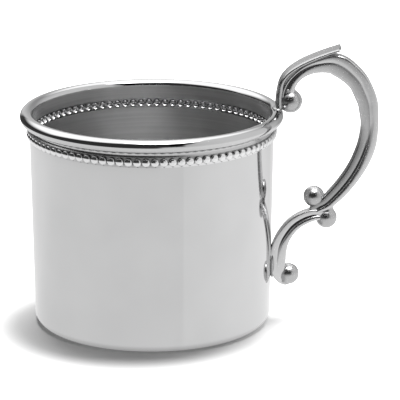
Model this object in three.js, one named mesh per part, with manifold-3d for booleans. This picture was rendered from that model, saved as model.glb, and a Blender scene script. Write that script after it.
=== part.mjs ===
// A small polished pewter cup for a baby: a spun body, a beaded collar, a rolled rim and a scroll handle.
// Millimetres, +Z up. The origin is the middle of the foot, on the surface the cup stands on.
// The handle lies in the XZ plane and reaches out along +X.

import * as THREE from "three";
import { mergeVertices } from "three/addons/utils/BufferGeometryUtils.js";
import Module from "manifold-3d";

// Spun body
const CUP_HEIGHT = 63.5;
const MOUTH_RADIUS = 35.5;
const FOOT_RADIUS = 34.6;
const WALL = 1.0;
const FOOT_CORNER = 3.2;

// Rolled rim and the plain neck below it
const ROLL_RADIUS = 1.87;
const NECK_HEIGHT = 1.7;

// Beaded collar
const BEAD_RADIUS = 1.2;
const BEAD_PITCH = 2.48;
const BEAD_RISE = 0.92;
const BEAD_LAND = 0.2;
const BEAD_BITE = 0.03;
const DIMPLE_RADIUS = 1.1;
const DIMPLE_DEPTH = 0.55;

// Handle: its reach is from the wall to the middle of the strap where it stands out most, and its drop from
// the rim's top to the middle of its foot. The groove is in shares of the strap's half height and half width.
const HANDLE_REACH = 27.65;
const HANDLE_DROP = 46.5;
const BALL_RADIUS = 3.15;
const UPPER_BALL_GAP = 0.5;
const UPPER_BALL_ANGLE = 45;
const INNER_BALL_STAND = 0.5;
const INNER_BALL_ANGLE = 137;
const OUTER_BALL_STAND = 0.9;
const OUTER_BALL_ANGLE = -75;
const STRAP_HALF_HEIGHT = 3.3;
const STRAP_HALF_WIDTH = 2.6;
const GROOVE_SPREAD_RATIO = 0.14;
const GROOVE_FLOOR_RATIO = 0.68;
const LEAF_HALF_WIDTH = 3.4;
const LEAF_ROOT_HALF_WIDTH = 2.2;
const LEAF_ROOT_HALF_THICKNESS = 1.05;
const LEAF_TIP_HALF_THICKNESS = 0.65;
const FOOT_PAD_HEIGHT = 10.0;
const FOOT_PAD_WIDTH = 4.4;
const FOOT_PAD_DEPTH = 1.1;
const ROOT_FILLET = 0.8;

// Hair-line joint between pieces that are soldered together
const SEAM = 0.1;

// Facets
const TURNED_SIDES = 60;
const CORNER_STEPS = 4;
const ROLL_STEPS = 12;
const STEPS_PER_SPAN = 2;
const BALL_SIDES = 14;
const BEAD_SIDES = 6;
const BEAD_STEPS = 2;

const rimTop = CUP_HEIGHT;
const rollCentre = rimTop - ROLL_RADIUS;
const collarTop = rimTop - 2 * ROLL_RADIUS - NECK_HEIGHT;
const collarBottom = collarTop - 2 * (BEAD_RADIUS + BEAD_LAND);
const beadCentre = (collarTop + collarBottom) / 2;
const rollRing = MOUTH_RADIUS - WALL + ROLL_RADIUS;

const wasm = await Module();
wasm.setup();

// Outer radius of the tapered wall at a height, and straight up from the collar.
function wallRadius(z) {
  const share = THREE.MathUtils.clamp((z - FOOT_CORNER) / (collarBottom - FOOT_CORNER), 0, 1);
  return THREE.MathUtils.lerp(FOOT_RADIUS, MOUTH_RADIUS, share);
}

function solidFrom(geometry) {
  const bare = new THREE.BufferGeometry();
  bare.setAttribute("position", geometry.getAttribute("position"));
  bare.setIndex(geometry.getIndex());
  const merged = mergeVertices(bare, 1e-4);
  const corners = merged.getIndex().array;
  const kept = [];
  for (let i = 0; i < corners.length; i += 3) {
    const [a, b, c] = [corners[i], corners[i + 1], corners[i + 2]];
    if (a !== b && b !== c && c !== a) {
      kept.push(a, b, c);
    }
  }
  const vertProperties = new Float32Array(merged.getAttribute("position").array);
  const triVerts = new Uint32Array(kept);
  return new wasm.Manifold(new wasm.Mesh({ numProp: 3, vertProperties, triVerts }));
}

function geometryFrom(solid) {
  const mesh = solid.getMesh();
  const geometry = new THREE.BufferGeometry();
  geometry.setAttribute("position", new THREE.BufferAttribute(mesh.vertProperties, 3));
  geometry.setIndex(new THREE.BufferAttribute(mesh.triVerts, 1));
  geometry.computeVertexNormals();
  return geometry;
}

// A profile of radius and height pairs, turned about Z.
function turnedShape(profile, sides) {
  const points = profile.map(([radius, height]) => new THREE.Vector2(radius, height));
  return new THREE.LatheGeometry(points, sides).rotateX(Math.PI / 2);
}

function turned(profile, sides) {
  return solidFrom(turnedShape(profile, sides));
}

function arc(radius, height, size, from, to, steps) {
  const points = [];
  for (let i = 0; i <= steps; i += 1) {
    const angle = THREE.MathUtils.lerp(from, to, i / steps);
    points.push([radius + size * Math.cos(angle), height + size * Math.sin(angle)]);
  }
  return points;
}

// One spun sheet: a flat floor, a rounded corner and a wall that widens a little towards the mouth.
function cupBody() {
  const corner = FOOT_RADIUS - FOOT_CORNER;
  const outside = arc(corner, FOOT_CORNER, FOOT_CORNER, -Math.PI / 2, 0, CORNER_STEPS);
  const inside = arc(corner, FOOT_CORNER, FOOT_CORNER - WALL, 0, -Math.PI / 2, CORNER_STEPS);
  const top = wallRadius(collarBottom);
  return turned(
    [
      [0, 0],
      ...outside,
      [top, collarBottom],
      [top - WALL, collarBottom],
      ...inside,
      [0, WALL],
    ],
    TURNED_SIDES,
  );
}

// Everything inside the cup's outer surface, grown by the seam, to cut what is soldered to the wall.
function bodyCutter() {
  return turned(
    [
      [0, 0],
      [FOOT_RADIUS + SEAM, 0],
      [FOOT_RADIUS + SEAM, FOOT_CORNER],
      [MOUTH_RADIUS + SEAM, collarBottom],
      [0, collarBottom],
    ],
    TURNED_SIDES,
  );
}

function rimRoll(grow) {
  const outer = MOUTH_RADIUS;
  const inner = MOUTH_RADIUS - WALL;
  const size = ROLL_RADIUS + grow;
  const meets = -Math.PI + Math.acos((rollRing - outer) / ROLL_RADIUS);
  return turned(
    [
      [inner, collarTop],
      [outer, collarTop],
      ...arc(rollRing, rollCentre, size, meets, Math.PI, ROLL_STEPS),
      [inner, collarTop],
    ],
    TURNED_SIDES,
  );
}

function ball(radius, x, z) {
  const geometry = new THREE.SphereGeometry(radius, BALL_SIDES, BALL_SIDES / 2);
  geometry.rotateX(Math.PI / 2);
  geometry.translate(x, 0, z);
  return solidFrom(geometry);
}

// A small turned form that points away from the axis of the cup, set in the collar at a radius.
function studded(profile, radius, angle) {
  const geometry = turnedShape(profile, BEAD_SIDES);
  geometry.rotateY(Math.PI / 2);
  geometry.translate(radius, 0, beadCentre);
  geometry.rotateZ(angle);
  return solidFrom(geometry);
}

// A bead is a low dome on a stub buried in the wall.
function beadProfile() {
  const sunk = BEAD_RADIUS - BEAD_RISE;
  const foot = Math.asin(sunk / BEAD_RADIUS);
  const dome = arc(0, -sunk, BEAD_RADIUS, foot, Math.PI / 2, BEAD_STEPS);
  return [[0, -WALL / 2], [dome[0][0], -WALL / 2], ...dome];
}

// The collar is one ring: beads stand out of it and a dimple behind each one shows inside the cup.
function beadCollar() {
  const outer = MOUTH_RADIUS;
  const inner = MOUTH_RADIUS - WALL;
  const count = Math.round((2 * Math.PI * outer) / BEAD_PITCH);
  const facet = Math.cos(Math.PI / count);
  const dimple = [[0, -WALL], [DIMPLE_RADIUS, -WALL], [DIMPLE_RADIUS, 0], [0, DIMPLE_DEPTH]];
  let collar = turned(
    [
      [inner, collarBottom],
      [outer, collarBottom],
      [outer, collarTop],
      [inner, collarTop],
      [inner, collarBottom],
    ],
    count,
  );
  for (let i = 0; i < count; i += 1) {
    const angle = ((i + 0.5) * 2 * Math.PI) / count;
    collar = collar.add(studded(beadProfile(), outer * facet - BEAD_BITE, angle));
    collar = collar.subtract(studded(dimple, inner * facet - BEAD_BITE, angle));
  }
  return collar;
}

// Stations along the handle's strap: distance out from the wall in shares of the handle's reach, distance
// below the rim's top in shares of its drop, height and width in shares of the strap's, and where the side
// groove runs between the inner and the outer edge.
const UPPER_STRAP_SHARES = [
  [0.141, -0.0753, 0.545, 0.8, -0.2],
  [0.1447, -0.1398, 0.621, 0.85, -0.2],
  [0.2242, -0.2022, 0.409, 0.9, -0.2],
  [0.3472, -0.2505, 0.409, 0.95, -0.1],
  [0.4521, -0.2699, 0.53, 0.95, -0.15],
  [0.5714, -0.2817, 0.818, 1.0, -0.2],
  [0.6872, -0.2688, 1.0, 1.05, -0.25],
  [0.8246, -0.2011, 0.909, 1.08, -0.25],
  [0.9114, -0.1355, 0.879, 1.08, -0.22],
  [0.9729, -0.0237, 0.87, 1.08, -0.22],
  [1.0, 0.0903, 0.842, 1.05, -0.22],
  [0.9801, 0.1957, 0.848, 1.05, -0.2],
  [0.9259, 0.3043, 0.818, 1.0, -0.15],
  [0.8318, 0.4151, 0.742, 1.0, -0.1],
  [0.7016, 0.5215, 0.682, 1.0, 0.0],
  [0.6203, 0.5785, 0.621, 0.97, 0.0],
  [0.5389, 0.628, 0.591, 0.95, 0.05],
];
const LOWER_STRAP_SHARES = [
  [0.425, 0.6796, 0.576, 0.92, 0.1],
  [0.3165, 0.7151, 0.591, 0.92, 0.1],
  [0.2297, 0.7505, 0.606, 0.92, 0.1],
  [0.1664, 0.7978, 0.606, 0.92, 0.1],
  [0.1212, 0.8581, 0.606, 0.92, 0.1],
  [0.0995, 0.9247, 0.591, 0.92, 0.1],
  [0.0904, 1.0, 0.561, 0.9, 0.1],
  [0.0904, 1.0602, 0.5, 0.85, 0.1],
  [0.1139, 1.1075, 0.364, 0.75, 0.1],
  [0.1555, 1.1344, 0.242, 0.6, 0.1],
];

// Middle of the ball in the lower curl, out from the wall and below the rim's top in the same shares.
const LOWER_BALL_SHARES = [0.1917, 1.083];

// Stations along the leaf: distance out from the middle of the roll and below the rim's top, in the same
// shares, and its width, from 0 for the root's width to 1 for the leaf's.
const LEAF_SHARES = [
  [0.0127, 0.0215, 0.0],
  [0.0036, -0.0538, 0.1],
  [0.0127, -0.1183, 0.25],
  [0.047, -0.1785, 0.5],
  [0.1121, -0.2269, 0.75],
  [0.2134, -0.2699, 0.95],
  [0.3183, -0.3032, 1.0],
  [0.4268, -0.3312, 1.0],
  [0.528, -0.3559, 1.0],
  [0.6438, -0.3806, 0.95],
];

function placed([out, below]) {
  const z = rimTop - below * HANDLE_DROP;
  return [wallRadius(z) + out * HANDLE_REACH, z];
}

function leafPoint([out, below]) {
  return [rollRing + out * HANDLE_REACH, rimTop - below * HANDLE_DROP];
}

// Middle of a ball that stands off from a point, in a direction given in degrees above +X.
function ballBeside([x, z], stand, degrees) {
  const angle = THREE.MathUtils.degToRad(degrees);
  const reach = BALL_RADIUS + stand;
  return [x + reach * Math.cos(angle), z + reach * Math.sin(angle)];
}

// The upper ball nests in the angle between the roll and the leaf. Two balls flank the place where the
// scrolls meet, and one lies inside the curl at the strap's lower end.
const scrollJoint = placed(UPPER_STRAP_SHARES.at(-1));
const upperBall = ballBeside([rollRing, rollCentre], ROLL_RADIUS + UPPER_BALL_GAP, UPPER_BALL_ANGLE);
const innerBall = ballBeside(scrollJoint, INNER_BALL_STAND, INNER_BALL_ANGLE);
const outerBall = ballBeside(scrollJoint, OUTER_BALL_STAND, OUTER_BALL_ANGLE);
const lowerBall = placed(LOWER_BALL_SHARES);

// Half of the strap's section, from its outer edge to its inner edge, with the groove in its side.
function strapSection(groove) {
  return [
    [1, 0],
    [0.9, 0.6],
    [0.5, 0.97],
    [groove + GROOVE_SPREAD_RATIO, 0.94],
    [groove, GROOVE_FLOOR_RATIO],
    [groove - GROOVE_SPREAD_RATIO, 0.94],
    [-0.6, 0.93],
    [-0.92, 0.55],
    [-1, 0],
  ];
}

// Half of the leaf's section: a low crown, a thin edge and a rounded underside.
const LEAF_SECTION_SHARES = [
  [1, 0],
  [0.85, 0.6],
  [0.4, 0.96],
  [-0.3, 1],
  [-0.8, 0.75],
  [-1, 0.3],
  [-1, 0],
];

function mirrored(half) {
  const back = half.slice(1, -1).reverse();
  return [...half, ...back.map(([along, across]) => [along, -across])];
}

// Rings of points across a path in the XZ plane, closed with a flat face at each end.
function lofted(rings) {
  const sides = rings[0].length;
  const positions = rings.flat(2);
  const triangles = [];
  for (let i = 0; i + 1 < rings.length; i += 1) {
    for (let j = 0; j < sides; j += 1) {
      const a = i * sides + j;
      const b = i * sides + ((j + 1) % sides);
      triangles.push(a, a + sides, b, b, a + sides, b + sides);
    }
  }
  const last = (rings.length - 1) * sides;
  for (let j = 1; j + 1 < sides; j += 1) {
    triangles.push(0, j, j + 1);
    triangles.push(last, last + j + 1, last + j);
  }
  const geometry = new THREE.BufferGeometry();
  geometry.setAttribute("position", new THREE.BufferAttribute(new Float32Array(positions), 3));
  geometry.setIndex(triangles);
  return solidFrom(geometry);
}

// One smooth ring of the handle: centre, direction across the path in its plane, and a section.
function ringAt(path, share, section, halfHeight, halfWidth) {
  const centre = path.getPoint(share);
  const ahead = path.getTangent(share);
  return section.map(([along, across]) => [
    centre.x - ahead.z * halfHeight * along,
    halfWidth * across,
    centre.z + ahead.x * halfHeight * along,
  ]);
}

function pathThrough(points) {
  return new THREE.CatmullRomCurve3(points.map(([x, z]) => new THREE.Vector3(x, 0, z)));
}

function strapRings(grow) {
  const stations = [...UPPER_STRAP_SHARES, ...LOWER_STRAP_SHARES];
  const path = pathThrough(stations.map(placed));
  const sizes = stations.map(([, , height, width, groove]) => new THREE.Vector3(height, width, groove));
  const sizeCurve = new THREE.CatmullRomCurve3(sizes);
  const count = (stations.length - 1) * STEPS_PER_SPAN;
  const rings = [];
  for (let i = 0; i <= count; i += 1) {
    const size = sizeCurve.getPoint(i / count);
    const section = mirrored(strapSection(size.z));
    const halfHeight = STRAP_HALF_HEIGHT * size.x + grow;
    rings.push(ringAt(path, i / count, section, halfHeight, STRAP_HALF_WIDTH * size.y + grow));
  }
  return rings;
}

function leafSolid(grow) {
  const path = pathThrough(LEAF_SHARES.map(leafPoint));
  const shares = new THREE.CatmullRomCurve3(LEAF_SHARES.map(([, , share]) => new THREE.Vector3(share, 0, 0)));
  const section = mirrored(LEAF_SECTION_SHARES);
  const count = (LEAF_SHARES.length - 1) * STEPS_PER_SPAN;
  const rings = [];
  for (let i = 0; i <= count; i += 1) {
    const spread = shares.getPoint(i / count).x;
    const width = THREE.MathUtils.lerp(LEAF_ROOT_HALF_WIDTH, LEAF_HALF_WIDTH, spread);
    const thickness = THREE.MathUtils.lerp(LEAF_ROOT_HALF_THICKNESS, LEAF_TIP_HALF_THICKNESS, i / count);
    rings.push(ringAt(path, i / count, section, thickness + grow, width + grow));
  }
  return lofted(rings);
}

function upperScroll() {
  const joint = (UPPER_STRAP_SHARES.length - 1) * STEPS_PER_SPAN;
  return lofted(strapRings(0).slice(0, joint + 1))
    .subtract(leafSolid(SEAM))
    .subtract(ball(BALL_RADIUS + SEAM, ...upperBall))
    .subtract(ball(BALL_RADIUS + SEAM, ...innerBall))
    .subtract(ball(BALL_RADIUS + SEAM, ...outerBall));
}

function lowerScroll() {
  const joint = (UPPER_STRAP_SHARES.length - 1) * STEPS_PER_SPAN;
  return lofted(strapRings(0).slice(joint))
    .subtract(ball(BALL_RADIUS + SEAM, ...innerBall))
    .subtract(ball(BALL_RADIUS + SEAM, ...outerBall))
    .subtract(ball(BALL_RADIUS + SEAM, ...lowerBall))
    .subtract(bodyCutter());
}

function thumbLeaf() {
  return leafSolid(0)
    .subtract(rimRoll(SEAM))
    .subtract(ball(BALL_RADIUS + SEAM, ...upperBall));
}

// A rounded lump of solder, given by its half sizes.
function blob(halfX, halfY, halfZ, x, z) {
  const geometry = new THREE.SphereGeometry(1, BALL_SIDES, BALL_SIDES / 2);
  geometry.rotateX(Math.PI / 2);
  geometry.scale(halfX, halfY, halfZ);
  geometry.translate(x, 0, z);
  return solidFrom(geometry);
}

// Solder that runs round the leaf's root, where it stands on the roll.
function rimSolder() {
  const [rootX] = leafPoint(LEAF_SHARES[0]);
  return blob(
    LEAF_ROOT_HALF_THICKNESS + ROOT_FILLET,
    LEAF_ROOT_HALF_WIDTH + ROOT_FILLET,
    ROOT_FILLET,
    rootX,
    rimTop,
  )
    .subtract(rimRoll(SEAM))
    .subtract(leafSolid(SEAM))
    .subtract(ball(BALL_RADIUS + SEAM, ...upperBall));
}

// Solder between the wall and the strap's straight lower end.
function wallSolder() {
  const z = rimTop - HANDLE_DROP;
  return blob(FOOT_PAD_DEPTH, FOOT_PAD_WIDTH / 2, FOOT_PAD_HEIGHT / 2, wallRadius(z) + SEAM, z)
    .subtract(bodyCutter())
    .subtract(lofted(strapRings(SEAM)));
}

const polished = () => new THREE.MeshStandardMaterial({ color: 0xc4c4c6, roughness: 0.08, metalness: 1 });
const satin = () => new THREE.MeshStandardMaterial({ color: 0xa9a9ab, roughness: 0.32, metalness: 1 });
const solder = () => new THREE.MeshStandardMaterial({ color: 0xb6b6b8, roughness: 0.2, metalness: 1 });

function piece(name, solid, material) {
  const mesh = new THREE.Mesh(geometryFrom(solid), material);
  mesh.name = name;
  return mesh;
}

const cup = new THREE.Group();
cup.name = "baby_cup";
cup.add(piece("cup_body", cupBody(), satin()));
cup.add(piece("bead_collar", beadCollar(), polished()));
cup.add(piece("rim_roll", rimRoll(0), polished()));

const handle = new THREE.Group();
handle.name = "handle";
handle.add(piece("thumb_leaf", thumbLeaf(), polished()));
handle.add(piece("upper_scroll", upperScroll(), polished()));
handle.add(piece("lower_scroll", lowerScroll(), polished()));
handle.add(piece("upper_ball", ball(BALL_RADIUS, ...upperBall), polished()));
handle.add(piece("inner_ball", ball(BALL_RADIUS, ...innerBall), polished()));
handle.add(piece("outer_ball", ball(BALL_RADIUS, ...outerBall), polished()));
handle.add(piece("lower_ball", ball(BALL_RADIUS, ...lowerBall), polished()));
handle.add(piece("rim_solder", rimSolder(), solder()));
handle.add(piece("wall_solder", wallSolder(), solder()));
cup.add(handle);

export default cup;
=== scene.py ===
import math

import bmesh
import bpy
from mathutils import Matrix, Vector
from mathutils.geometry import interpolate_bezier


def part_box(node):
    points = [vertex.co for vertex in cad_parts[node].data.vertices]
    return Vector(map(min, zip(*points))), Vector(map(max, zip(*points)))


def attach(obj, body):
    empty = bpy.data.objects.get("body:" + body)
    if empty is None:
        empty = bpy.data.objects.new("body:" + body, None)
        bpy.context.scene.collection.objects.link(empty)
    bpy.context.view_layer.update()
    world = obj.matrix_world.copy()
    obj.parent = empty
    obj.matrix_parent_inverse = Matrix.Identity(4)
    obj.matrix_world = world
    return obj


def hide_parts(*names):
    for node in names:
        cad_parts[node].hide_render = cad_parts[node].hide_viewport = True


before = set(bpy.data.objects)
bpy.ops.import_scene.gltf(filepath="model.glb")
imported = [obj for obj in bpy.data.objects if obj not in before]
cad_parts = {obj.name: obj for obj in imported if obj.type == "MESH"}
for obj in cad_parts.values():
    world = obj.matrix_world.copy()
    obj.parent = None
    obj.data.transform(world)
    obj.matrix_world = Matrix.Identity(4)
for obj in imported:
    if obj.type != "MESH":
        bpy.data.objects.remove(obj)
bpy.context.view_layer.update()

# All sizes are in millimetres, as the solids have them, and become metres where a mesh is made.
MM = 0.001
LATHE_SIDES = 180
MERGE_GAP = 0.004
ON_LEVEL = 1e-3
SKIN_NEAR = 0.05

# Spun body, rolled rim and the neck under it
CUP_HEIGHT = 63.5
MOUTH_RADIUS = 35.5
FOOT_RADIUS = 34.6
WALL = 1.0
FOOT_CORNER = 3.2
ROLL_RADIUS = 1.87
ROLL_RING = MOUTH_RADIUS - WALL + ROLL_RADIUS
ROLL_HEIGHT = CUP_HEIGHT - ROLL_RADIUS
ROLL_START = -106
COLLAR_TOP = 58.06
COLLAR_BOTTOM = 55.26
ROLL_BACK = [ROLL_HEIGHT - 0.8, COLLAR_TOP + 1, COLLAR_TOP]
WALL_RINGS = [4, 8, 16, 24, 32, 40, 48, 54.6, COLLAR_BOTTOM]
FLOOR_RINGS = [0.6, 12, 24, FOOT_RADIUS - FOOT_CORNER - 0.6]
# The cove between beads and roll: how deep it is cut, and how far above the collar
NECK_COVE = [(0.0, 0.0), (0.19, 0.28), (0.27, 0.56), (0.26, 0.86), (0.16, 1.2), (-0.06, 1.56)]

# Beads outside the collar and dimples inside it
BEAD_HEIGHT = 56.66
BEAD_COUNT = 90
BEAD_RADIUS = 1.2
BEAD_RISE = 0.92
BEAD_PHASE = math.radians(-0.64)
BEAD_FULLNESS = 0.52
BEAD_LIFT = 0.25
DIMPLE_OPENING = 1.17
DIMPLE_DEPTH = 0.8
BEAD_SIDES = 16
BEAD_RINGS = 6

# A strap's end face, as shares of its half height and half width
OUTER_CORNER = 0.26
INNER_CORNER = 0.22
BACK_CORNER = 0.9
UPPER_FALL = 0.09
LOWER_FALL = 0.05
GROOVE_FLOOR = 0.03
GROOVE_LIP = 0.2
GROOVE_NEAR = 0.01
LIP_DROP = 0.035
NEAR_CORNER = 0.9

# Tarnish and painted shade: the groove's depth where its darkening starts and over which it grows,
# how far it spreads from the floor, its darkest tone, and the painted shade on the inner half of the
# upper strap from one station on
DARK_DEPTH = 0.16
DARK_SPAN = 0.2
DARK_SPREAD = 1.6
TARNISH_AND_SHADE_TONE = 0.16
INNER_PAINTED_SHADE = 0.52
INNER_FADE = 1.5
UPPER_SHADE_FROM = 6
SHADE_RUN = 6.0

# Thumb leaf
LEAF_FRONT_BEVEL = 0.55
LEAF_BACK_BEVEL = 0.12
LEAF_CUTS = (-0.88, -0.55, 0.0, 0.55, 0.88)
LEAF_DISH_WIDTH = 0.6
LEAF_DISH = 0.12
LEAF_SLANT = 0.6
LEAF_END = 0.12

# Balls: the neck starts inside a cone, and each of its steps is drawn out and narrowed
BALL_RADIUS = 3.15
BALL_FLATNESS = 0.95
BALL_SIDES = 32
BALL_RINGS = 16
NECK_CONE = math.radians(46)
NECK_STEPS = [(0.3, 0.88), (0.4, 0.97), (0.5, 1.08)]
# Each ball: the neck's turn in degrees, its length as a share of the steps, and the ball's fullness
BALL_NECKS = [
    ("upper_ball", -14, 1.0, 1.1),
    ("inner_ball", 137, 0.8, 1.0),
    ("outer_ball", 2, 1.3, 1.0),
    ("lower_ball", 215, 0.35, 1.0),
]


# Working at the bench: picking points, and finishing a mesh

def clear_bench():
    bpy.ops.object.select_all(action="DESELECT")


def take_up(name):
    """Names the primitive just added, settles it in its mesh and opens it for shaping."""
    piece = bpy.context.object
    piece.name = name
    piece.data.name = name
    bpy.ops.object.transform_apply(location=True, rotation=True, scale=True)
    bpy.ops.object.mode_set(mode="EDIT")
    bpy.ops.mesh.select_mode(type="VERT")
    bpy.ops.mesh.select_all(action="SELECT")
    return piece


def pick(piece, wanted):
    """Selects the points of an open mesh that a test of their place asks for, in millimetres."""
    bpy.ops.mesh.select_mode(type="VERT")
    bpy.ops.mesh.select_all(action="DESELECT")
    mesh = bmesh.from_edit_mesh(piece.data)
    for point in mesh.verts:
        if wanted(point.co / MM):
            point.select_set(True)
    mesh.select_flush(True)
    bmesh.update_edit_mesh(piece.data)


def draw_out(across, up):
    """Extrudes what is selected and moves it on."""
    step = (across * MM, 0, up * MM)
    bpy.ops.mesh.extrude_region_move(TRANSFORM_OT_translate={"value": step})


def close_up(smooth_below):
    """Merges doubles, turns the faces outwards, leaves edit mode and smooths all but sharp edges."""
    bpy.ops.mesh.select_all(action="SELECT")
    bpy.ops.mesh.remove_doubles(threshold=MERGE_GAP * MM)
    bpy.ops.mesh.normals_make_consistent(inside=False)
    bpy.ops.object.mode_set(mode="OBJECT")
    bpy.ops.object.shade_smooth_by_angle(angle=math.radians(smooth_below))


def arc(radius, height, size, first, last, steps):
    """Points of an arc in the lathe's profile, as radius and height."""
    points = []
    for i in range(steps + 1):
        angle = math.radians(first + (last - first) * i / steps)
        points.append((radius + size * math.cos(angle), height + size * math.sin(angle)))
    return points


def raise_on_lathe(name, rings):
    """Raises a turned piece ring by ring from a circle: rings are radius and height."""
    clear_bench()
    radius, height = rings[0]
    bpy.ops.mesh.primitive_circle_add(
        vertices=LATHE_SIDES,
        radius=radius * MM,
        location=(0, 0, height * MM),
    )
    piece = take_up(name)
    for next_radius, next_height in rings[1:]:
        draw_out(0, next_height - height)
        share = next_radius / radius
        bpy.ops.transform.resize(value=(share, share, 1), center_override=(0, 0, 0))
        radius, height = next_radius, next_height
    return piece


# Turned pieces

def spin_cup_body():
    corner = FOOT_RADIUS - FOOT_CORNER
    outside = arc(corner, FOOT_CORNER, FOOT_CORNER, first=-90, last=0, steps=12)
    inside = arc(corner, FOOT_CORNER, FOOT_CORNER - WALL, first=0, last=-90, steps=8)
    taper = (MOUTH_RADIUS - FOOT_RADIUS) / (COLLAR_BOTTOM - FOOT_CORNER)
    up = [(FOOT_RADIUS + taper * (z - FOOT_CORNER), z) for z in WALL_RINGS]
    down = [(radius - WALL, z) for radius, z in reversed(up)]
    floor_out = [(radius, 0) for radius in FLOOR_RINGS]
    floor_in = [(radius, WALL) for radius in reversed(FLOOR_RINGS)]
    body = raise_on_lathe("spun_body", floor_out + outside + up + down + inside + floor_in)
    bpy.ops.mesh.select_all(action="SELECT")
    bpy.ops.mesh.fill_holes(sides=0)
    close_up(smooth_below=35)
    return body


def roll_rim():
    inner = MOUTH_RADIUS - WALL
    round_bar = arc(ROLL_RING, ROLL_HEIGHT, ROLL_RADIUS, first=ROLL_START, last=180, steps=44)
    cove = [(MOUTH_RADIUS - deep, COLLAR_TOP + up) for deep, up in NECK_COVE]
    back = [(inner, height) for height in ROLL_BACK]
    roll = raise_on_lathe("rolled_rim", [(inner, COLLAR_TOP)] + cove + round_bar + back)
    close_up(smooth_below=35)
    return roll


# Beaded collar: one bead in its square of sheet, repeated round the ring

def chase_one_bead(name, radius, opening, rise, fullness, lift):
    """One bead, or one dimple, drawn out of a circle in its square of sheet and copied round."""
    clear_bench()
    half_width = radius * math.tan(math.pi / BEAD_COUNT)
    half_height = (COLLAR_TOP - COLLAR_BOTTOM) / 2
    here = (radius * MM, 0, BEAD_HEIGHT * MM)
    flat = (0, math.pi / 2, 0)
    bpy.ops.mesh.primitive_circle_add(
        vertices=BEAD_SIDES,
        radius=opening * MM,
        location=here,
        rotation=flat,
    )
    bead = take_up(name)
    width, height, raised = opening, 0.0, 0.0
    for i in range(1, BEAD_RINGS):
        angle = math.pi / 2 * i / BEAD_RINGS
        next_width = opening * math.cos(angle) ** fullness
        next_height = rise * math.sin(angle) ** fullness
        next_raised = lift * next_height / rise
        draw_out(next_height - height, next_raised - raised)
        share = next_width / width
        ring_middle = (here[0], 0, (BEAD_HEIGHT + next_raised) * MM)
        bpy.ops.transform.resize(value=(1, share, share), center_override=ring_middle)
        width, height, raised = next_width, next_height, next_raised
    draw_out(rise - height, lift - raised)
    bpy.ops.mesh.merge(type="CENTER")
    bpy.ops.mesh.select_all(action="DESELECT")
    bpy.ops.mesh.primitive_grid_add(
        x_subdivisions=BEAD_SIDES // 4,
        y_subdivisions=BEAD_SIDES // 4,
        size=2 * MM,
        location=here,
        rotation=flat,
    )
    bpy.ops.transform.resize(value=(1, half_width, half_height), center_override=here)

    def on_sheet(at):
        return abs(at.x - radius) < 0.1 * ON_LEVEL

    def inside_sheet(at):
        up = at.z - BEAD_HEIGHT
        off_edge = abs(at.y) < half_width - ON_LEVEL and abs(up) < half_height - ON_LEVEL
        return on_sheet(at) and off_edge and math.hypot(at.y, up) < opening - SKIN_NEAR
    pick(bead, inside_sheet)
    bpy.ops.mesh.delete(type="VERT")
    pick(bead, on_sheet)
    bpy.ops.mesh.bridge_edge_loops()
    bpy.ops.mesh.select_all(action="SELECT")
    bpy.ops.mesh.spin(
        steps=BEAD_COUNT - 1,
        dupli=True,
        angle=2 * math.pi * (BEAD_COUNT - 1) / BEAD_COUNT,
        center=(0, 0, 0),
        axis=(0, 0, 1),
    )
    bpy.ops.object.mode_set(mode="OBJECT")
    return bead


def chase_collar():
    sunk = BEAD_RADIUS - BEAD_RISE
    opening = math.sqrt(BEAD_RADIUS ** 2 - sunk ** 2)
    outside = chase_one_bead(
        "beaded_collar", MOUTH_RADIUS, opening, BEAD_RISE, BEAD_FULLNESS, BEAD_LIFT
    )
    inside = chase_one_bead(
        "dimples", MOUTH_RADIUS - WALL, DIMPLE_OPENING, DIMPLE_DEPTH, fullness=1.0, lift=0.0
    )
    clear_bench()
    inside.select_set(True)
    outside.select_set(True)
    bpy.context.view_layer.objects.active = outside
    bpy.ops.object.join()
    outside.rotation_euler[2] = BEAD_PHASE
    bpy.ops.object.transform_apply(rotation=True)
    bpy.ops.object.mode_set(mode="EDIT")
    bpy.ops.mesh.select_all(action="SELECT")
    bpy.ops.mesh.remove_doubles(threshold=MERGE_GAP * MM)
    for level in (COLLAR_TOP, COLLAR_BOTTOM):
        pick(outside, lambda at: abs(at.z - level) < ON_LEVEL)
        bpy.ops.mesh.bridge_edge_loops()
    close_up(smooth_below=40)
    return outside


# Handle: each strap is drawn straight, lying flat, then bent along its line and stood up

def wall_radius(z):
    share = min(max((z - FOOT_CORNER) / (COLLAR_BOTTOM - FOOT_CORNER), 0), 1)
    return FOOT_RADIUS + (MOUTH_RADIUS - FOOT_RADIUS) * share


def off_wall(out, below):
    z = CUP_HEIGHT - below
    return wall_radius(z) + out, z


def off_roll(out, below):
    return ROLL_RING + out, CUP_HEIGHT - below


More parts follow.
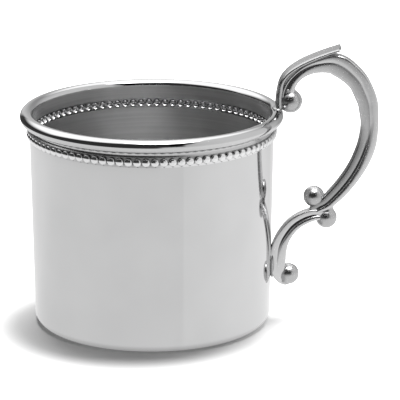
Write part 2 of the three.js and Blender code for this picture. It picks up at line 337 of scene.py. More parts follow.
# Stations of a strap: out from the wall, below the rim's top, half height and half width,
# then its groove: place, half width and depth, as shares of the half height and half width
UPPER_SCROLL = [
    (4.3, -2.2, 1.55, 2.0, 0.5, 0.3, 0.4),
    (3.9, -4.33, 1.8, 2.1, 0.5, 0.3, 0.45),
    (5.07, -7.64, 1.45, 2.25, 0.5, 0.28, 0.45),
    (7.41, -10.27, 1.35, 2.35, 0.5, 0.2, 0.35),
    (10.44, -12.07, 1.68, 2.45, 0.5, 0.12, 0.22),
    (13.9, -13.05, 2.25, 2.5, 0.36, 0.12, 0.14),
    (16.86, -13.28, 3.0, 2.6, 0.25, 0.16, 0.12),
    (19.24, -12.45, 3.31, 2.65, 0.2, 0.18, 0.12),
    (21.36, -11.0, 3.12, 2.7, 0.16, 0.2, 0.12),
    (24.24, -8.12, 2.95, 2.78, 0.12, 0.2, 0.12),
    (25.87, -5.0, 3.08, 2.8, 0.08, 0.2, 0.12),
    (27.08, -1.93, 2.96, 2.8, 0.06, 0.2, 0.12),
    (27.5, 1.1, 2.82, 2.78, 0.03, 0.2, 0.13),
    (27.75, 4.3, 2.54, 2.75, 0.0, 0.3, 0.16),
    (27.58, 7.5, 2.65, 2.73, -0.06, 0.2, 0.24),
    (27.03, 11.0, 2.74, 2.7, -0.1, 0.12, 0.34),
    (25.86, 14.5, 2.68, 2.65, -0.08, 0.11, 0.4),
    (24.37, 17.66, 2.55, 2.6, -0.04, 0.11, 0.42),
    (22.55, 20.63, 2.45, 2.6, 0.0, 0.11, 0.42),
    (20.45, 23.47, 2.35, 2.6, 0.02, 0.11, 0.42),
    (18.05, 26.19, 2.2, 2.52, 0.05, 0.11, 0.42),
    (15.7, 28.4, 2.0, 2.45, 0.1, 0.11, 0.42),
    (13.3, 29.7, 1.75, 2.4, 0.15, 0.12, 0.4),
    (11.2, 31.5, 1.0, 2.2, 0.2, 0.14, 0.35),
]
LOWER_SCROLL = [
    (15.7, 32.7, 1.2, 2.2, 0.0, 0.15, 0.1),
    (13.9, 32.0, 1.6, 2.3, 0.05, 0.16, 0.2),
    (11.6, 32.1, 1.85, 2.4, 0.1, 0.16, 0.42),
    (8.75, 33.25, 1.95, 2.4, 0.1, 0.16, 0.45),
    (6.35, 34.9, 2.0, 2.4, 0.1, 0.16, 0.45),
    (4.5, 37.1, 2.05, 2.4, 0.1, 0.14, 0.42),
    (2.95, 39.9, 2.2, 2.4, 0.05, 0.1, 0.34),
    (2.15, 43.0, 2.45, 2.4, -0.05, 0.08, 0.2),
    (2.0, 46.5, 2.45, 2.34, -0.1, 0.1, 0.05),
    (2.15, 49.3, 2.05, 2.21, 0.0, 0.2, 0.03),
    (3.0, 51.5, 1.35, 1.95, 0.0, 0.2, 0.02),
    (4.2, 52.75, 0.85, 1.56, 0.0, 0.2, 0.01),
    (5.7, 52.9, 0.4, 1.1, 0.0, 0.2, 0.01),
]
# Stations of the leaf's top: out from the middle of the roll, below the rim's top, thickness and
# half width
THUMB_LEAF = [
    (-0.47, 1.0, 2.1, 2.2),
    (-0.4, -2.5, 2.0, 2.32),
    (0.0, -5.5, 1.7, 2.5),
    (0.83, -8.5, 1.45, 2.8),
    (2.83, -11.2, 1.3, 3.1),
    (5.83, -13.35, 1.22, 3.34),
    (8.63, -14.8, 1.18, 3.4),
    (11.63, -16.05, 1.12, 3.4),
    (14.63, -17.15, 1.06, 3.4),
    (18.2, -18.26, 0.95, 3.38),
]


def draw_line(name, points):
    """A flat guide line through the points, and how far along it each point lies."""
    guide = bpy.data.curves.new(name, "CURVE")
    guide.dimensions = "2D"
    guide.resolution_u = 24
    line = guide.splines.new("BEZIER")
    line.bezier_points.add(len(points) - 1)
    spots = [Vector((x * MM, z * MM, 0)) for x, z in points]
    for i, knot in enumerate(line.bezier_points):
        before, spot = spots[max(i - 1, 0)], spots[i]
        after = spots[min(i + 1, len(spots) - 1)]
        heading = (after - before).normalized()
        knot.handle_left_type = knot.handle_right_type = "FREE"
        knot.co = spot
        knot.handle_left = spot - heading * (spot - before).length / 3
        knot.handle_right = spot + heading * (after - spot).length / 3
    marks = [0.0]
    for a, b in zip(line.bezier_points, line.bezier_points[1:]):
        ends = (a.co, a.handle_right, b.handle_left, b.co)
        steps = interpolate_bezier(*ends, guide.resolution_u + 1)
        marks.append(marks[-1] + sum((q - p).length for p, q in zip(steps, steps[1:])) / MM)
    guide_line = bpy.data.objects.new(name, guide)
    bpy.context.scene.collection.objects.link(guide_line)
    return guide_line, marks


def bend_and_stand(piece, guide_line):
    """Bends a straight piece along its line, stands it up and settles it at the origin."""
    follow = piece.modifiers.new("follow", "CURVE")
    follow.object = guide_line
    follow.deform_axis = "POS_X"
    bpy.ops.object.modifier_apply(modifier="follow")
    piece.rotation_euler[0] = math.pi / 2
    bpy.ops.object.transform_apply(rotation=True)
    guide = guide_line.data
    bpy.data.objects.remove(guide_line)
    bpy.data.curves.remove(guide)


def smooth_out(piece, levels):
    rounding = piece.modifiers.new("rounding", "SUBSURF")
    rounding.levels = levels
    rounding.render_levels = levels
    bpy.ops.object.modifier_apply(modifier="rounding")


def cut_strap_end(name, fall):
    """A strap's end face, lying across X: a groove line down a flat front that falls away to the
    inner edge, a crisp outer corner and a full back."""
    clear_bench()
    bpy.ops.mesh.primitive_plane_add(size=2 * MM, rotation=(0, math.pi / 2, 0))
    face = take_up(name)
    for cut in (-GROOVE_LIP, -GROOVE_FLOOR, GROOVE_FLOOR, GROOVE_LIP):
        bpy.ops.mesh.select_all(action="SELECT")
        bpy.ops.mesh.bisect(plane_co=(0, cut * MM, 0), plane_no=(0, 1, 0))
    for rounding, steps, corner in (
        (OUTER_CORNER, 3, lambda at: at.y > NEAR_CORNER and at.z > NEAR_CORNER),
        (INNER_CORNER, 5, lambda at: at.y < -NEAR_CORNER and at.z > NEAR_CORNER),
        (BACK_CORNER, 5, lambda at: abs(at.y) > NEAR_CORNER and at.z < -NEAR_CORNER),
    ):
        pick(face, corner)
        bpy.ops.mesh.bevel(offset=rounding * MM, segments=steps, affect="VERTICES")
    pick(face, lambda at: at.y < -NEAR_CORNER + INNER_CORNER and at.z > 0)
    bpy.ops.transform.translate(value=(0, 0, -fall * MM))
    pick(face, lambda at: abs(at.y + GROOVE_LIP) < GROOVE_NEAR and at.z > 0)
    bpy.ops.transform.translate(value=(0, 0, -LIP_DROP * MM))
    return face


def draw_strap(name, stations, fall, shade_from):
    points = [off_wall(out, below) for out, below, *_ in stations]
    guide_line, marks = draw_line(name + "_line", points)
    strap = cut_strap_end(name, fall)
    bpy.ops.mesh.select_all(action="SELECT")
    high, wide = 1.0, 1.0
    for i, (_, _, half_height, half_width, *_) in enumerate(stations):
        here = (marks[i] * MM, 0, 0)
        if i:
            draw_out(marks[i] - marks[i - 1], 0)
        share = (1, half_height / high, half_width / wide)
        bpy.ops.transform.resize(value=share, center_override=here)
        high, wide = half_height, half_width
    for mark, station in zip(marks, stations):
        sink_groove(strap, mark, station[2], *station[4:])
    close_up(smooth_below=180)
    smooth_out(strap, levels=2)
    tarnish_and_shade_strap(strap, marks, stations, shade_from)
    bend_and_stand(strap, guide_line)
    return strap


def sink_groove(strap, mark, half_height, place, half_width, depth):
    """Sinks the groove's floor at one station, spreads its lips and moves it to its place."""
    def at_station(at, low, high):
        return abs(at.x - mark) < ON_LEVEL and low < at.y / half_height < high
    floor_edge = GROOVE_FLOOR + GROOVE_NEAR
    pick(strap, lambda at: at_station(at, -floor_edge, floor_edge))
    bpy.ops.transform.resize(value=(1, 1, 1 - depth), center_override=(0, 0, 0))
    for edge in (-GROOVE_LIP, GROOVE_LIP):
        pick(strap, lambda at: at_station(at, edge - GROOVE_NEAR, edge + GROOVE_NEAR))
        spread = half_width / GROOVE_LIP
        bpy.ops.transform.resize(value=(1, spread, 1), center_override=(0, 0, 0))
    halves = [(1, 0, 2), (-1, -2, 0)]
    for side, low, high in halves if place > 0 else reversed(halves):
        pick(strap, lambda at: at_station(at, low, high))
        edge = (0, side * half_height * MM, 0)
        bpy.ops.transform.resize(value=(1, 1 - side * place, 1), center_override=edge)


def tarnish_and_shade_strap(strap, marks, stations, shade_from):
    """Notes at each point how dark the strap is made: on the groove's floor, where it is deep, partly
    tarnish and partly painted shade, and painted shade on the front's inner half from one station on."""
    shades = strap.data.color_attributes.new("tarnish_and_shade", "FLOAT_COLOR", "POINT")
    for point, shade in zip(strap.data.vertices, shades.data):
        at = point.co / MM
        i = max(j for j in range(len(marks) - 1) if marks[j] <= max(at.x, 0))
        share = (at.x - marks[i]) / (marks[i + 1] - marks[i])
        here = [a + (b - a) * share for a, b in zip(stations[i], stations[i + 1])]
        half_height, _, place, half_width, depth = here[2:]
        off_floor = at.y / half_height - place
        near = min(max(DARK_SPREAD * (1 - abs(off_floor) / half_width), 0), 1)
        deep = min(max((depth - DARK_DEPTH) / DARK_SPAN, 0), 1)
        dark = near * deep
        # Painted shade on the front's inner half, from one station on
        if off_floor < 0 and shade_from <= i:
            to_edge = min(-INNER_FADE * off_floor / (1 + place), 1)
            start = min((at.x - marks[shade_from]) / SHADE_RUN, 1)
            dark = max(dark, INNER_PAINTED_SHADE * start * (1 - (1 - deep) * to_edge))
        dark = dark if at.z > 0 else 0
        shade.color = (dark, dark, dark, 1)


def draw_leaf():
    points = [off_roll(out, below) for out, below, *_ in THUMB_LEAF]
    guide_line, marks = draw_line("leaf_line", points)
    clear_bench()
    thick, wide = THUMB_LEAF[0][2:]
    bpy.ops.mesh.primitive_plane_add(size=2 * MM, rotation=(0, math.pi / 2, 0))
    leaf = take_up("leaf_blade")
    bpy.ops.transform.resize(value=(1, thick / 2, wide), center_override=(0, 0, 0))
    bpy.ops.transform.translate(value=(0, -thick / 2 * MM, 0))
    pick(leaf, lambda at: at.z > 0)
    bpy.ops.mesh.bevel(offset=LEAF_FRONT_BEVEL * MM, segments=1, affect="VERTICES")
    pick(leaf, lambda at: at.z < -NEAR_CORNER * wide)
    bpy.ops.mesh.bevel(offset=LEAF_BACK_BEVEL * MM, segments=1, affect="VERTICES")
    for cut in LEAF_CUTS:
        bpy.ops.mesh.select_all(action="SELECT")
        bpy.ops.mesh.bisect(plane_co=(0, 0, cut * wide * MM), plane_no=(0, 0, 1))
    pick(leaf, lambda at: abs(at.z) < LEAF_DISH_WIDTH * wide and at.y > -ON_LEVEL)
    bpy.ops.transform.translate(value=(0, -LEAF_DISH * MM, 0))
    bpy.ops.mesh.select_all(action="SELECT")
    for i, (_, _, next_thick, next_wide) in enumerate(THUMB_LEAF):
        here = (marks[i] * MM, 0, 0)
        if i:
            draw_out(marks[i] - marks[i - 1], 0)
        share = (1, next_thick / thick, next_wide / wide)
        bpy.ops.transform.resize(value=share, center_override=here)
        thick, wide = next_thick, next_wide
    draw_out(LEAF_END, 0)
    pick(leaf, lambda at: at.x > marks[-1] - ON_LEVEL and at.z > 0)
    bpy.ops.transform.translate(value=(-LEAF_SLANT * MM, 0, 0))
    close_up(smooth_below=180)
    smooth_out(leaf, levels=2)
    bend_and_stand(leaf, guide_line)
    return leaf


def cast_ball(name, node, neck_turn, neck_share, fullness):
    """A ball with a neck drawn out of it: the neck's turn is from straight up towards +X."""
    low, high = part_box(node)
    middle = (low + high) / 2
    radius = BALL_RADIUS * fullness
    turn = math.radians(neck_turn)
    clear_bench()
    bpy.ops.mesh.primitive_uv_sphere_add(
        segments=BALL_SIDES,
        ring_count=BALL_RINGS,
        radius=radius * MM,
        location=middle,
        rotation=(0, turn, 0),
    )
    ball = take_up(name)
    along = Vector((math.sin(turn), 0, math.cos(turn)))
    pick(ball, lambda at: (at - middle / MM).dot(along) > radius * math.cos(NECK_CONE))
    for reach, share in NECK_STEPS:
        draw_out(along.x * reach * neck_share, along.z * reach * neck_share)
        bpy.ops.transform.resize(value=(share, share, share))
    bpy.ops.mesh.select_all(action="SELECT")
    bpy.ops.transform.resize(value=(1, BALL_FLATNESS, 1), center_override=middle)
    close_up(smooth_below=180)
    smooth_out(ball, levels=1)
    return ball


def run_solder(name, node, cut_at, cut_along, swell):
    """A bead of solder, flattened where it lies against the piece it holds."""
    low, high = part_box(node)
    middle = (low + high) / 2
    half = (high - low) / 2 * Vector(swell)
    clear_bench()
    bpy.ops.mesh.primitive_uv_sphere_add(
        segments=BALL_SIDES,
        ring_count=BALL_RINGS,
        radius=1,
        location=middle,
        scale=half,
    )
    solder = take_up(name)
    flat = middle + Vector(cut_along) * cut_at * half.length
    bpy.ops.mesh.bisect(plane_co=flat, plane_no=cut_along, clear_inner=True, use_fill=True)
    close_up(smooth_below=60)
    return solder


# Finishes: each has a tone and a haze, both with their spread, and lines or grain in the metal

LATHE_LINES = (40, 40, 5200)
BRUSH_LINES = (22, 22, 1300)
CAST_GRAIN = (900, 900, 900)
DULL_GRAIN = (1200, 1200, 1200)
SOLDER_GRAIN = (1500, 1500, 1500)
LINE_DETAIL = 4.0
LINE_HEIGHT = 0.00002
CLOUD_SCALE = 55.0
CLOUD_DETAIL = 3.0
NOISE_LOW, NOISE_HIGH = 0.3, 0.7
COOL_TINT = 1.005
BRUSH_STRETCH = 0.9
BRUSH_TURN = 0.25


def start_finish(name):
    finish = bpy.data.materials.new(name)
    finish.use_nodes = True
    nodes = finish.node_tree.nodes
    return finish, nodes, finish.node_tree.links, nodes["Principled BSDF"]


def pewter(name, tone, haze, lines_by, line_depth, line_tone=0.0):
    """Pewter with a clouded tone and fine lines: tone and haze are each a middle and a spread."""
    finish, nodes, links, skin = start_finish(name)
    skin.inputs["Metallic"].default_value = 1.0
    place = nodes.new("ShaderNodeTexCoord")
    stretch = nodes.new("ShaderNodeMapping")
    stretch.inputs["Scale"].default_value = lines_by
    links.new(place.outputs["Object"], stretch.inputs["Vector"])
    lines = nodes.new("ShaderNodeTexNoise")
    lines.inputs["Scale"].default_value = 1.0
    lines.inputs["Detail"].default_value = LINE_DETAIL
    links.new(stretch.outputs["Vector"], lines.inputs["Vector"])
    clouds = nodes.new("ShaderNodeTexNoise")
    clouds.inputs["Scale"].default_value = CLOUD_SCALE
    clouds.inputs["Detail"].default_value = CLOUD_DETAIL
    links.new(place.outputs["Object"], clouds.inputs["Vector"])
    shade = nodes.new("ShaderNodeValToRGB")
    middle, spread = tone
    ends = [(NOISE_LOW, middle - spread), (NOISE_HIGH, middle + spread)]
    for stop, (position, grey) in zip(shade.color_ramp.elements, ends):
        stop.position = position
        stop.color = (grey, grey, grey * COOL_TINT, 1)
    links.new(clouds.outputs["Fac"], shade.inputs["Fac"])
    streaks = nodes.new("ShaderNodeMapRange")
    streaks.inputs["From Min"].default_value = NOISE_LOW
    streaks.inputs["From Max"].default_value = NOISE_HIGH
    streaks.inputs["To Min"].default_value = 1 - line_tone
    streaks.inputs["To Max"].default_value = 1 + line_tone
    links.new(lines.outputs["Fac"], streaks.inputs["Value"])
    streaked = nodes.new("ShaderNodeVectorMath")
    streaked.operation = "SCALE"
    links.new(shade.outputs["Color"], streaked.inputs[0])
    links.new(streaks.outputs["Result"], streaked.inputs["Scale"])
    links.new(streaked.outputs["Vector"], skin.inputs["Base Color"])
    hazing = nodes.new("ShaderNodeMapRange")
    middle, spread = haze
    hazing.inputs["To Min"].default_value = middle - spread
    hazing.inputs["To Max"].default_value = middle + spread
    links.new(lines.outputs["Fac"], hazing.inputs["Value"])
    links.new(hazing.outputs["Result"], skin.inputs["Roughness"])
    ridges = nodes.new("ShaderNodeBump")
    ridges.inputs["Strength"].default_value = line_depth
    ridges.inputs["Distance"].default_value = LINE_HEIGHT
    links.new(lines.outputs["Fac"], ridges.inputs["Height"])
    links.new(ridges.outputs["Normal"], skin.inputs["Normal"])
    return finish


def tarnish_and_shade(finish):
    """Darkens a finish where its piece is marked, for tarnish and painted shade."""
    nodes, links = finish.node_tree.nodes, finish.node_tree.links
    skin = nodes["Principled BSDF"]
    marked = nodes.new("ShaderNodeAttribute")
    marked.attribute_name = "tarnish_and_shade"
    fade = nodes.new("ShaderNodeMapRange")
    fade.inputs["To Min"].default_value = 1.0
    fade.inputs["To Max"].default_value = TARNISH_AND_SHADE_TONE
    links.new(marked.outputs["Fac"], fade.inputs["Value"])
    darkened = nodes.new("ShaderNodeVectorMath")
    darkened.operation = "SCALE"
    links.new(skin.inputs["Base Color"].links[0].from_socket, darkened.inputs[0])
    links.new(fade.outputs["Result"], darkened.inputs["Scale"])
    links.new(darkened.outputs["Vector"], skin.inputs["Base Color"])


def brush_round(finish):
    """Draws the highlights of a finish out across its brushing, which runs round the axis."""
    nodes, links = finish.node_tree.nodes, finish.node_tree.links
    skin = nodes["Principled BSDF"]
    skin.inputs["Anisotropic"].default_value = BRUSH_STRETCH
    skin.inputs["Anisotropic Rotation"].default_value = BRUSH_TURN
    brushing = nodes.new("ShaderNodeTangent")
    brushing.direction_type = "RADIAL"
    brushing.axis = "Z"
    links.new(brushing.outputs["Tangent"], skin.inputs["Tangent"])


polished = pewter("polished_pewter", (0.6, 0.015), (0.07, 0.02), LATHE_LINES, 0.05)
# The brushed inside is toned darker than the polished outside: painted shade for the dark inside the
# cup
satin_inside_shaded = pewter("brushed_pewter_inside_painted_shade", (0.42, 0.04), (0.45, 0.06), BRUSH_LINES, 1.0, 0.1)
brush_round(satin_inside_shaded)
# The cast strap is darkened where marked: tarnish and painted shade in the groove, painted shade on
# the inner half
strap_cast = pewter("buffed_cast_pewter", (0.62, 0.03), (0.25, 0.06), CAST_GRAIN, 0.06)
tarnish_and_shade(strap_cast)
# The leaf: a darker copy of the cast pewter, painted shade for the dark it reflects
leaf_cast_shaded = pewter("thumb_leaf_pewter_painted_shade", (0.47, 0.03), (0.25, 0.06), CAST_GRAIN, 0.06)
# The balls: a darker copy of the cast pewter, painted shade for the dark they reflect
ball_cast_shaded = pewter("ball_cast_pewter_painted_shade", (0.49, 0.04), (0.28, 0.05), CAST_GRAIN, 0.06)
soldered = pewter("solder", (0.42, 0.03), (0.25, 0.06), SOLDER_GRAIN, 0.1)
# The cove between beads and roll: darker, partly patina in the hollow and partly painted shade
cove_patina_and_shade = pewter("cove_pewter_patina_and_painted_shade", (0.32, 0.04), (0.3, 0.08), DULL_GRAIN, 0.1)
necked = pewter("neck_pewter", (0.6, 0.02), (0.24, 0.05), DULL_GRAIN, 0.1)
# The beads: a lighter copy of the polished pewter, a painted sheen that brightens them
beads_with_sheen = pewter("bead_pewter_painted_sheen", (0.8, 0.02), (0.09, 0.03), CAST_GRAIN, 0.05)
dimpled = pewter("dimpled_pewter", (0.38, 0.03), (0.19, 0.06), CAST_GRAIN, 0.06)


# Fitting the pieces: a piece lists its finishes, and the faces then choose among them

UPRIGHT = 1e-6
INSIDE_FLOOR_TOP = 5
INSIDE_FLOOR_FACING = 0.5
RECESS_DOWN = 0.8
NECK_REACH = 2.9


def fit(piece, node, slot, *finishes):
    for finish in finishes:
        piece.data.materials.append(finish)
    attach(piece, "root")
    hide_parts(node)
    return piece


def looks_in(face):
    """How far a face looks in at the axis: above 0 where it does."""
    return -(face.center.x * face.normal.x + face.center.y * face.normal.y)


def brush_inside(piece, inner_of):
    """Gives the second finish, brushed and toned down as painted shade for the inside, to inner faces
    that look in at the axis, and to the inside floor.
    """
    for face in piece.data.polygons:
        middle = face.center / MM
        on_floor = face.normal.z > INSIDE_FLOOR_FACING and middle.z < INSIDE_FLOOR_TOP
        if inner_of(middle) and (looks_in(face) > UPRIGHT or on_floor):
            face.material_index = 1


def darken_recess(piece, inside_recess):
    """Gives the third finish to the faces of a recess that the polishing wheel doesn't reach: on the
    collar a darker one, partly patina and partly painted shade, on the roll's neck only a rougher one.
    """
    for face in piece.data.polygons:
        if all(inside_recess(piece.data.vertices[i].co / MM) for i in face.vertices):
            face.material_index = 2


def dull_dimples(collar):
    """Gives the fourth finish to the dimples, which look in at the axis from behind the beads."""
    for face in collar.data.polygons:
        inside = off_axis(face.center / MM) < MOUTH_RADIUS
        if face.material_index == 0 and inside and looks_in(face) > 0:
            face.material_index = 3


def off_axis(at):
    return math.hypot(at.x, at.y)


def between_beads(at):
    return abs(off_axis(at) - MOUTH_RADIUS) < SKIN_NEAR and at.z > BEAD_HEIGHT - RECESS_DOWN


def between_dimples(at):
    return abs(off_axis(at) - MOUTH_RADIUS + WALL) < SKIN_NEAR


def behind_roll(at):
    return off_axis(at) < MOUTH_RADIUS - WALL + SKIN_NEAR


def under_neck(at):
    return off_axis(at) > MOUTH_RADIUS - 0.5 * WALL and at.z < COLLAR_TOP + NECK_REACH


body = fit(spin_cup_body(), "cup_body", "polished_pewter", polished, satin_inside_shaded)
brush_inside(body, lambda at: at.z > 0.5 * WALL)
collar = fit(chase_collar(), "bead_collar", "polished_pewter", beads_with_sheen, satin_inside_shaded, cove_patina_and_shade, dimpled)
brush_inside(collar, between_dimples)
darken_recess(collar, between_beads)
dull_dimples(collar)
roll = fit(roll_rim(), "rim_roll", "polished_pewter", polished, satin_inside_shaded, necked)
brush_inside(roll, behind_roll)
darken_recess(roll, under_neck)
fit(draw_leaf(), "thumb_leaf", "cast_pewter", leaf_cast_shaded)
upper_strap = draw_strap("upper_scroll_strap", UPPER_SCROLL, UPPER_FALL, UPPER_SHADE_FROM)
fit(upper_strap, "upper_scroll", "cast_pewter", strap_cast)
lower_strap = draw_strap("lower_scroll_strap", LOWER_SCROLL, LOWER_FALL, len(LOWER_SCROLL))
fit(lower_strap, "lower_scroll", "cast_pewter", strap_cast)
for node, neck_turn, neck_share, fullness in BALL_NECKS:
    ball = cast_ball(node + "_cast", node, neck_turn, neck_share, fullness)
    fit(ball, node, "cast_pewter", ball_cast_shaded)
rim_run = run_solder("rim_solder_run", "rim_solder", cut_at=-0.3, cut_along=(0, 0, 1), swell=(1, 1, 1))
fit(rim_run, "rim_solder", "solder", soldered)
wall_run = run_solder(
    "wall_solder_run", "wall_solder", cut_at=-0.1, cut_along=(1, 0, 0), swell=(2.2, 1.25, 1)
)
fit(wall_run, "wall_solder", "solder", soldered)


# Studio: a white floor, a soft light overhead, a pale panel at the right, a dark room in front, and
# a lamp over the cup for the shadow at its foot

# What the polished metal sees, by the direction in degrees from the camera's side, right positive:
# how high the overhead light's edge stands in degrees, and how soft that edge is,
LIGHT_EDGE = [
    (-180, 30), (-160, 22), (-140, 20), (-100, 21), (-80, 37), (-60, 47), (-40, 55), (-20, 60),
    (0, 61), (40, 63), (70, 63), (100, 58), (120, 50), (140, 36), (160, 36), (180, 30),
]
EDGE_SOFT = [(-180, 22), (-160, 12), (-90, 11), (-60, 9), (120, 9), (150, 16), (180, 22)]
# how bright the room and the panel are below it, and how high the panel reaches,
LOW_GLOW = [
    (-180, 0.6), (-168, 0.75), (-162, 0.7), (-156, 0.06), (-135, 0.04), (27.5, 0.04), (29.5, 0.64),
    (45, 0.8), (65, 0.87), (110, 0.87), (130, 0.7), (145, 0.5), (152, 0.4), (165, 0.4), (180, 0.6),
]
PANEL_TOP = [(-180, 90), (15, 90), (16, 14), (30, 24), (45, 44), (60, 80), (180, 90)]
# and how bright the floor glows for the metal, a painted reflection, near the cup and far from it
FLOOR_NEAR = [
    (-180, 0.92), (-152, 0.92), (-150, 0.94), (-143, 1.02), (-115, 1.06), (-95, 1.0), (-80, 0.98),
    (30, 0.98), (45, 1.02), (70, 1.07), (100, 1.1), (118, 1.1), (138, 0.92), (180, 0.95),
]
FLOOR_FAR = [
    (-180, 0.35), (-166, 0.3), (-156, 0.06), (-90, 0.05), (4, 0.05), (10, 0.75), (60, 0.87),
    (120, 0.87), (140, 0.45), (180, 0.35),
]
LIGHT = 1.65
ROOM_DARK = 0.04

# The strongest part of the overhead light: its strength, its edge and the way it lies
KEY = 8.6
KEY_EDGE = math.cos(math.radians(23))
KEY_FULL = math.cos(math.radians(12))
KEY_RISE = math.radians(76)
KEY_TURN = math.radians(25)
KEY_LIGHT = (
    math.cos(KEY_RISE) * math.sin(KEY_TURN),
    -math.cos(KEY_RISE) * math.cos(KEY_TURN),
    math.sin(KEY_RISE),
)

# The floor, in metres: the metal sees it as a painted reflection that glows, steps up at the panel's
# edge, has a painted shadow by the foot and changes to its far tones further out; the camera sees the
# lamp's shadow near the cup, faded into white beyond it by a painted lift about a point off the axis
FLOOR_SIZE = 6
FLOOR_WHITE = (0.9, 0.9, 0.9, 1)
FLOOR_FILL = 0.1
PANEL_EDGE = math.radians(29.8)
PANEL_STEP_FROM, PANEL_STEP_TO, PANEL_STEP_TONE = -0.011, -0.0075, 0.94
FOOT_DARK_FROM, FOOT_DARK_TO, FOOT_DARK_TONE = 0.030, 0.037, 0.35
FAR_FROM, FAR_TO = 0.205, 0.27
# Painted lift that fades the lamp's shadow into white: its middle, where the shadow is whole, where it
# has gone, and the lift near the cup
SHADOW_MIDDLE = (-0.006, -0.006, 0.0)
SHADOW_FULL, SHADOW_GONE, SHADOW_LIFT = 0.032, 0.050, 0.03

# The lamp: its lean back in degrees, its place and size in metres, and its power in watts
LAMP_LEAN = 11.3
LAMP_ASIDE = 0.08
LAMP_REACH = 1.3
LAMP_SIZE = (0.7, 0.62)
LAMP_POWER = 22.0

CAMERA_LENS = 261.7
CAMERA_SENSOR = 36.0
CAMERA_PLACE = (0, -0.8183, 0.27)
CAMERA_AIM = (0.0140, -0.0011, 0.0361)


class Wiring:
    """Short ways to join the nodes of one material or world."""

    def __init__(self, tree):
        self.nodes = tree.nodes
        self.links = tree.links

    def feed(self, socket, value):
        if isinstance(value, (int, float, tuple)):
            socket.default_value = value
        else:
            self.links.new(value, socket)

    def sum(self, operation, first, second=0.0):
        node = self.nodes.new("ShaderNodeMath")
        node.operation = operation
        self.feed(node.inputs[0], first)
        self.feed(node.inputs[1], second)
        return node.outputs["Value"]

    def ease(self, value, low, high, start, end):
        node = self.nodes.new("ShaderNodeMapRange")
        node.interpolation_type = "SMOOTHSTEP"
        given = {"Value": value, "From Min": low, "From Max": high, "To Min": start, "To Max": end}
        for name, setting in given.items():
            self.feed(node.inputs[name], setting)
        return node.outputs["Result"]

    def by_turn(self, turn, table):
        """A value read from a table by direction, which a ramp holds as shares of the largest."""
        node = self.nodes.new("ShaderNodeValToRGB")
        ramp = node.color_ramp
        whole = max(value for degrees, value in table)
        places = [(degrees / 360 + 0.5, value / whole) for degrees, value in table]
        ramp.elements[0].position, ramp.elements[1].position = places[0][0], places[-1][0]
        for place, _ in places[1:-1]:
            ramp.elements.new(place)
        for stop, (place, value) in zip(ramp.elements, places):
            stop.color = (value, value, value, 1)
        share = self.sum("ADD", self.sum("DIVIDE", turn, 2 * math.pi), 0.5)
        self.links.new(share, node.inputs["Fac"])
        return self.sum("MULTIPLY", node.outputs["Color"], whole)


def turn_of(wires, place):
    """The direction of a place round the axis, and the place split into X, Y and Z."""
    split = wires.nodes.new("ShaderNodeSeparateXYZ")
    wires.links.new(place, split.inputs["Vector"])
    toward = wires.sum("MULTIPLY", split.outputs["Y"], -1.0)
    return wires.sum("ARCTAN2", split.outputs["X"], toward), split


def lay_floor():
    clear_bench()
    bpy.ops.mesh.primitive_plane_add(size=FLOOR_SIZE)
    floor = bpy.context.object
    floor.name = "studio_floor"
    finish, nodes, links, skin = start_finish("studio_floor")
    nodes.remove(skin)
    wires = Wiring(finish.node_tree)
    rays = nodes.new("ShaderNodeLightPath")
    matt = nodes.new("ShaderNodeBsdfDiffuse")
    matt.inputs["Color"].default_value = FLOOR_WHITE
    lift = nodes.new("ShaderNodeEmission")
    seen = nodes.new("ShaderNodeAddShader")
    links.new(matt.outputs["BSDF"], seen.inputs[0])
    links.new(lift.outputs["Emission"], seen.inputs[1])
    place = nodes.new("ShaderNodeTexCoord").outputs["Object"]
    turn, split = turn_of(wires, place)
    across = wires.sum("MULTIPLY", split.outputs["X"], math.cos(PANEL_EDGE))
    along = wires.sum("MULTIPLY", split.outputs["Y"], math.sin(PANEL_EDGE))
    past_edge = wires.sum("ADD", across, along)
    # Painted light: the reflected floor steps up past the panel's edge
    step = wires.ease(past_edge, PANEL_STEP_FROM, PANEL_STEP_TO, PANEL_STEP_TONE, 1.0)
    near = wires.sum("MULTIPLY", wires.by_turn(turn, FLOOR_NEAR), step)
    far = wires.by_turn(turn, FLOOR_FAR)
    reach_squared = wires.sum(
        "ADD",
        wires.sum("POWER", split.outputs["X"], 2.0),
        wires.sum("POWER", split.outputs["Y"], 2.0),
    )
    reach = wires.sum("SQRT", reach_squared)
    # Painted white: for camera rays the floor gets an emission that fades the lamp's shadow out, about
    # a point off the axis
    off_shadow = nodes.new("ShaderNodeVectorMath")
    off_shadow.operation = "DISTANCE"
    links.new(place, off_shadow.inputs[0])
    off_shadow.inputs[1].default_value = SHADOW_MIDDLE
    from_shadow = off_shadow.outputs["Value"]
    painted_white_fade = wires.ease(from_shadow, SHADOW_FULL, SHADOW_GONE, SHADOW_LIFT, 1.0)
    links.new(wires.sum("MULTIPLY", rays.outputs["Is Camera Ray"], painted_white_fade), lift.inputs["Strength"])
    away = wires.ease(reach, FAR_FROM, FAR_TO, 0.0, 1.0)
    tone = wires.sum(
        "ADD",
        wires.sum("MULTIPLY", near, wires.sum("SUBTRACT", 1.0, away)),
        wires.sum("MULTIPLY", far, away),
    )
    # Painted shadow: the reflected floor darkens towards the foot
    painted_foot_shadow = wires.ease(reach, FOOT_DARK_FROM, FOOT_DARK_TO, FOOT_DARK_TONE, 1.0)
    # Painted reflection: for glossy rays the floor glows with these tones instead of being lit
    painted_floor_reflection = nodes.new("ShaderNodeEmission")
    links.new(wires.sum("MULTIPLY", tone, painted_foot_shadow), painted_floor_reflection.inputs["Strength"])
    both = nodes.new("ShaderNodeMixShader")
    links.new(rays.outputs["Is Glossy Ray"], both.inputs["Fac"])
    links.new(seen.outputs["Shader"], both.inputs[1])
    links.new(painted_floor_reflection.outputs["Emission"], both.inputs[2])
    links.new(both.outputs["Shader"], nodes["Material Output"].inputs["Surface"])
    floor.data.materials.append(finish)


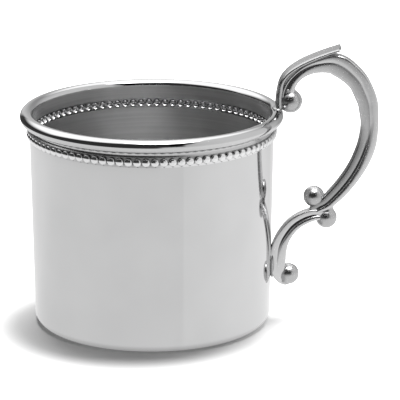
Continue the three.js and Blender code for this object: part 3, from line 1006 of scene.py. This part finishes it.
def hang_lights():
    world = bpy.data.worlds.new("studio")
    bpy.context.scene.world = world
    world.use_nodes = True
    nodes, links = world.node_tree.nodes, world.node_tree.links
    wires = Wiring(world.node_tree)
    place = nodes.new("ShaderNodeTexCoord").outputs["Generated"]
    turn, split = turn_of(wires, place)
    rise = wires.sum("ARCSINE", split.outputs["Z"])
    soft = wires.sum("RADIANS", wires.by_turn(turn, EDGE_SOFT))

    def past(edge, under, over):
        low, high = wires.sum("SUBTRACT", edge, soft), wires.sum("ADD", edge, soft)
        return wires.ease(rise, low, high, under, over)
    overhead = past(wires.sum("RADIANS", wires.by_turn(turn, LIGHT_EDGE)), 0.0, LIGHT)
    below = past(wires.sum("RADIANS", wires.by_turn(turn, PANEL_TOP)), 1.0, ROOM_DARK)
    low = wires.sum("MULTIPLY", wires.by_turn(turn, LOW_GLOW), below)
    glow = wires.sum("MAXIMUM", low, overhead)
    key = nodes.new("ShaderNodeVectorMath")
    key.operation = "DOT_PRODUCT"
    links.new(place, key.inputs[0])
    key.inputs[1].default_value = KEY_LIGHT
    near_key = wires.ease(key.outputs["Value"], KEY_EDGE, KEY_FULL, 0.0, KEY)
    glow = wires.sum("ADD", glow, near_key)
    # The floor gets little of this light, so that the lamp's shadow shows on it
    rays = nodes.new("ShaderNodeLightPath")
    from_floor = wires.sum("MINIMUM", rays.outputs["Diffuse Depth"], 1.0)
    fill = wires.sum("SUBTRACT", 1.0, wires.sum("MULTIPLY", from_floor, 1 - FLOOR_FILL))
    glow = wires.sum("MULTIPLY", glow, fill)
    seen = nodes.new("ShaderNodeMix")
    links.new(rays.outputs["Is Camera Ray"], seen.inputs["Factor"])
    links.new(glow, seen.inputs["A"])
    seen.inputs["B"].default_value = 1.0
    sky = nodes["Background"]
    links.new(seen.outputs["Result"], sky.inputs["Strength"])
    sky.inputs["Color"].default_value = (1, 1, 1, 1)
    # Sampled as a lamp is, the world would light the floor in full, whatever the fill says
    world.cycles.sampling_method = "NONE"


def hang_lamp():
    """A wide soft lamp over and behind the cup, for the shadow at its foot."""
    clear_bench()
    lean = math.radians(LAMP_LEAN)
    spot = (LAMP_ASIDE, LAMP_REACH * math.sin(lean), LAMP_REACH * math.cos(lean))
    bpy.ops.object.light_add(type="AREA", location=spot, rotation=(-lean, 0, 0))
    lamp = bpy.context.object
    lamp.name = "overhead_lamp"
    lamp.data.shape = "RECTANGLE"
    lamp.data.size, lamp.data.size_y = LAMP_SIZE
    lamp.data.energy = LAMP_POWER
    lamp.visible_glossy = False


def set_camera():
    eye = bpy.data.cameras.new("camera")
    eye.lens = CAMERA_LENS
    eye.sensor_width = CAMERA_SENSOR
    camera = bpy.data.objects.new("camera", eye)
    bpy.context.scene.collection.objects.link(camera)
    camera.location = CAMERA_PLACE
    aim = Vector(CAMERA_AIM) - camera.location
    camera.rotation_euler = aim.to_track_quat("-Z", "Y").to_euler()
    bpy.context.scene.camera = camera


lay_floor()
hang_lights()
hang_lamp()
set_camera()
bpy.context.scene.view_settings.view_transform = "Standard"
